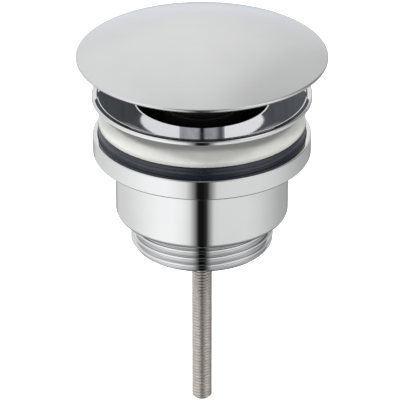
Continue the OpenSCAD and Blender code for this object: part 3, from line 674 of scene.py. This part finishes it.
def make_rod():
    """Threaded rod: a cylinder with a helical groove all along it, cut down to a cone at both ends."""
    rows = 14
    threaded = wall(ROD_R, wound_rows(ROD_LOW, ROD_TOP, ROD_PITCH, rows))
    profile = np.vstack([[(0, ROD_TOP)], threaded, [(0, ROD_LOW)]])
    groove = thread(ROD_PITCH, ROD_THREAD_DEPTH, ROD_LOW - THREAD_PAST, ROD_TOP + THREAD_PAST, ROD_FADE)

    def cut(t, r, z):
        cone = ROD_R - ROD_CHAMFER + np.minimum(z - ROD_LOW, ROD_TOP - z)
        return np.where(r > 0, np.minimum(groove(t, r, z), cone), r)

    wind = (1, len(threaded), ROD_LOW, ROD_TOP, ROD_PITCH, rows)
    piece("rod", [lathe(profile, turns=64, shape=cut, wind=wind)], ROD_STEEL, "waste_top", "stainless",
          "clamp_rod")


def make_fasteners():
    """Washers with eased edges and chamfered hexagon nuts, inside the cup and under the tail."""
    low = SPIDER_LOW - HOUSING_WASHER_T
    ring = washer(SPIDER_HOLE_R, HOUSING_WASHER_R, low, SPIDER_LOW, SMALL_TURNS)
    piece("cartridge_washer", [ring], PLAIN_STEEL, "waste_top", "stainless", "housing_washer")
    nut = hexagon(CARTRIDGE_NUT_AF, SPIDER_HOLE_R, low - CARTRIDGE_NUT_H, CARTRIDGE_NUT_H)
    piece("lock_nut", [nut], BRASS, "waste_top", "brass", "cartridge_nut")
    low = HUB_LOW - CLAMP_WASHER_T
    ring = washer(HUB_HOLE_R, CLAMP_WASHER_R, low, HUB_LOW, turns=96)
    piece("rod_washer", [ring], PLAIN_STEEL, "tail", "stainless", "clamp_washer")
    nut = hexagon(CLAMP_NUT_AF, ROD_HOLE_R, low - CLAMP_NUT_H, CLAMP_NUT_H)
    piece("rod_nut", [nut], PLAIN_STEEL, "tail", "stainless", "clamp_nut")


def dress(material, *nodes):
    """Gives CAD nodes whose shape stays their material."""
    for name in nodes:
        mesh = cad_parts[name].data
        mesh.materials.clear()
        mesh.materials.append(material)


make_cap()
make_cap_seal()
make_stem()
make_cartridge()
make_spring()
make_flange()
make_gasket()
make_seal()
make_tail()
make_rod()
make_fasteners()
dress(PLAIN_STEEL, "seal_plate", "follower_circlip")
dress(CAM_ACETAL, "cam_barrel", "follower_ring")
dress(SEAL_BLACK, "stem_o_ring")

WHITE = (1.0, 1.0, 1.0, 1.0)
# Levels of the studio below the horizon, by degrees to the right of the camera
LOW_STUDIO = [(-180, 0.28), (-165, 0.40), (-155, 0.66), (-148, 0.82), (-139, 0.88), (-110, 1.02),
              (-60, 1.34), (-38, 1.36), (-26, 1.24), (-17, 1.04), (-9, 0.34), (-5, 0.012), (1, 0.008),
              (6, 0.04), (12, 0.55), (16, 0.94), (24, 1.00), (60, 1.02), (80, 0.94), (100, 0.78),
              (125, 0.58), (150, 0.47), (158, 0.38), (180, 0.28)]
# Levels above the horizon, by degrees to the right of the camera
HIGH_STUDIO = [(-180, 1.10), (-176, 1.12), (-170, 1.09), (-160, 1.07), (-110, 1.05), (-80, 1.20),
               (-60, 1.28), (-46, 1.25), (-34, 0.5), (-20, 0.22), (0, 0.2), (20, 0.22), (34, 0.5),
               (44, 1.22), (58, 1.28), (72, 1.25), (86, 0.7), (105, 0.25), (125, 0.35), (140, 0.76),
               (160, 0.83), (164, 0.95), (170, 1.02), (175, 1.06), (180, 1.10)]
# Share of those levels by height, as the sine of the elevation, bluish round the horizon
RISE_STUDIO = [(-1.0, 0.22), (-0.85, 0.30), (-0.65, 0.62), (-0.53, 1.0), (-0.42, 1.0),
               (-0.2, (0.80, 0.835, 0.875)), (0.07, (0.855, 0.87, 0.905)), (0.2, (0.90, 0.905, 0.93)),
               (0.31, 0.935), (0.47, 0.98), (0.6, 0.99), (0.8, 0.96), (0.95, 0.88), (1.0, 0.80)]
# Soft light on matt surfaces, by the sine of the elevation that it comes from
SOFT_LIGHT = [(-1.0, 0.20), (-0.1, 0.25), (0.1, 0.32), (0.6, 0.35), (1.0, 0.35)]
# Sines over which the two rings of levels blend, on a horizon that tilts from front to back
HORIZON_FROM, HORIZON_TO, HORIZON_TILT = -0.12, 0.18, 0.3
# Sines over which the upper ring evens out to one level at the zenith
ROOF_FROM, ROOF_TO, ROOF_LEVEL = 0.88, 0.995, 1.05

LAMP_ANGLE = math.radians(12)
# Half the floor's width in metres, its grey and its glow
FLOOR_HALF, FLOOR_GREY, FLOOR_GLOW = 3.0, 0.85, 0.75
# Camera: its distance and the height of its aim in metres, its lens and sensor in millimetres
CAMERA_FAR, CAMERA_LIFT, CAMERA_AIM = 1.0, math.radians(27.92), -0.03428
LENS, SENSOR, SHIFT_X, SHIFT_Y = 306.1, 36.0, -0.005, 0.00125


def colour(level):
    """A colour with its alpha, from a colour or from the grey of a single level."""
    return (*level, 1.0) if isinstance(level, tuple) else (level, level, level, 1.0)


def put(tree, socket, value):
    """Links a socket to another one, or sets it to a number or a colour."""
    if isinstance(value, bpy.types.NodeSocket):
        tree.links.new(value, socket)
    else:
        socket.default_value = value


def math_node(tree, operation, *values):
    """Result of an operation on numbers or sockets."""
    node = tree.nodes.new("ShaderNodeMath")
    node.operation = operation
    for socket, value in zip(node.inputs, values):
        put(tree, socket, value)
    return node.outputs[0]


def mixed(tree, share, first, second, kind="MIX"):
    """Two colours mixed by a share from 0 to 1, or multiplied where kind says so."""
    node = tree.nodes.new("ShaderNodeMixRGB")
    node.blend_type = kind
    for socket, value in zip(node.inputs, (share, first, second)):
        put(tree, socket, value)
    return node.outputs["Color"]


def smooth_step(tree, source, low, high):
    """A share that rises smoothly from 0 to 1 while source goes from low to high."""
    node = tree.nodes.new("ShaderNodeMapRange")
    node.interpolation_type = "SMOOTHSTEP"
    node.inputs["From Min"].default_value = low
    node.inputs["From Max"].default_value = high
    tree.links.new(source, node.inputs["Value"])
    return node.outputs["Result"]


def ramp(tree, source, stops):
    """Colour at stops (place, level) along source, joined by straight lines."""
    node = tree.nodes.new("ShaderNodeValToRGB")
    tree.links.new(source, node.inputs["Fac"])
    bits = node.color_ramp.elements
    bits[0].position, bits[0].color = stops[0][0], colour(stops[0][1])
    bits[1].position, bits[1].color = stops[-1][0], colour(stops[-1][1])
    for place, level in stops[1:-1]:
        bits.new(place).color = colour(level)
    return node.outputs["Color"]


def ring_stops(levels):
    """Stops of a ramp from levels by degrees."""
    return [(degrees / 360 + 0.5, level) for degrees, level in levels]


def height_stops(levels):
    """Stops of a ramp from levels by the sine of the elevation."""
    return [(0.5 * sine + 0.5, level) for sine, level in levels]


def make_studio():
    """World that is white to the camera. Everything else sees a studio whose level depends on the direction:
    one ring of levels below the horizon and another above it, blended across it, and an even roof."""
    world = bpy.data.worlds.new("studio")
    bpy.context.scene.world = world
    world.use_nodes = True
    tree = world.node_tree
    parts = tree.nodes.new("ShaderNodeSeparateXYZ")
    tree.links.new(tree.nodes.new("ShaderNodeTexCoord").outputs["Generated"], parts.inputs[0])
    x, y, z = parts.outputs["X"], parts.outputs["Y"], parts.outputs["Z"]
    turn = math_node(tree, "ARCTAN2", x, math_node(tree, "MULTIPLY", y, -1.0))
    share = math_node(tree, "MULTIPLY_ADD", turn, 1.0 / (2 * math.pi), 0.5)
    height = math_node(tree, "MULTIPLY_ADD", z, 0.5, 0.5)
    low = ramp(tree, share, ring_stops(LOW_STUDIO))
    high = ramp(tree, share, ring_stops(HIGH_STUDIO))
    roofed = mixed(tree, smooth_step(tree, z, ROOF_FROM, ROOF_TO), high, colour(ROOF_LEVEL))
    above = math_node(tree, "ADD", z, math_node(tree, "MULTIPLY", y, HORIZON_TILT))
    rings = mixed(tree, smooth_step(tree, above, HORIZON_FROM, HORIZON_TO), low, roofed)
    studio = mixed(tree, 1.0, rings, ramp(tree, height, height_stops(RISE_STUDIO)), "MULTIPLY")
    ray = tree.nodes.new("ShaderNodeLightPath")
    soft = ramp(tree, height, height_stops(SOFT_LIGHT))
    lit = mixed(tree, ray.outputs["Is Diffuse Ray"], studio, soft)
    seen = mixed(tree, ray.outputs["Is Camera Ray"], lit, WHITE)
    tree.links.new(seen, tree.nodes["Background"].inputs["Color"])


def make_lamp(name, energy, turn, lift):
    """Large soft lamp, turn degrees to the right of the camera and lift degrees up, which only matt surfaces
    see."""
    data = bpy.data.lights.new(name, "SUN")
    data.energy = energy
    data.angle = LAMP_ANGLE
    lamp = bpy.data.objects.new(name, data)
    lamp.rotation_euler = (math.radians(90 - lift), 0.0, math.radians(turn))
    lamp.visible_glossy = False
    bpy.context.scene.collection.objects.link(lamp)


def make_floor():
    """White floor under the rod's end: it takes the shadow, and a little glow brings it up to white."""
    x = FLOOR_HALF * np.array([-1, 1, 1, -1])
    y = FLOOR_HALF * np.array([-1, -1, 1, 1])
    z = np.full(4, ROD_LOW * MM)
    mesh = bpy.data.meshes.new("floor")
    mesh.from_pydata(np.stack([x, y, z], axis=1).tolist(), [], [(0, 1, 2, 3)])
    floor = bpy.data.objects.new("floor", mesh)
    bpy.context.scene.collection.objects.link(floor)
    finish = Finish("floor_white", Base_Color=colour(FLOOR_GREY), Roughness=1.0, Specular_IOR_Level=0.0,
                    Emission_Color=WHITE)
    ray = finish.add("ShaderNodeLightPath")
    glow = math_node(finish.material.node_tree, "MULTIPLY", ray.outputs["Is Camera Ray"], FLOOR_GLOW)
    finish.join(glow, finish.shader, "Emission Strength")
    mesh.materials.append(finish.material)
    floor.visible_glossy = False
    floor.visible_diffuse = False


def make_camera():
    """Camera in front, above the dish, on a long lens. The shift puts the axis where the photo has it."""
    data = bpy.data.cameras.new("camera")
    data.sensor_width = SENSOR
    data.lens = LENS
    data.shift_x = SHIFT_X
    data.shift_y = SHIFT_Y
    camera = bpy.data.objects.new("camera", data)
    back, up = CAMERA_FAR * math.cos(CAMERA_LIFT), CAMERA_FAR * math.sin(CAMERA_LIFT)
    camera.location = (0.0, -back, CAMERA_AIM + up)
    camera.rotation_euler = (math.pi / 2 - CAMERA_LIFT, 0.0, 0.0)
    bpy.context.scene.collection.objects.link(camera)
    bpy.context.scene.camera = camera


make_studio()
make_lamp("left_lamp", energy=2.15, turn=-80, lift=45)
make_lamp("front_lamp", energy=1.35, turn=0, lift=50)
make_lamp("right_lamp", energy=1.5, turn=90, lift=45)
make_floor()
make_camera()
bpy.context.scene.view_settings.view_transform = "Standard"
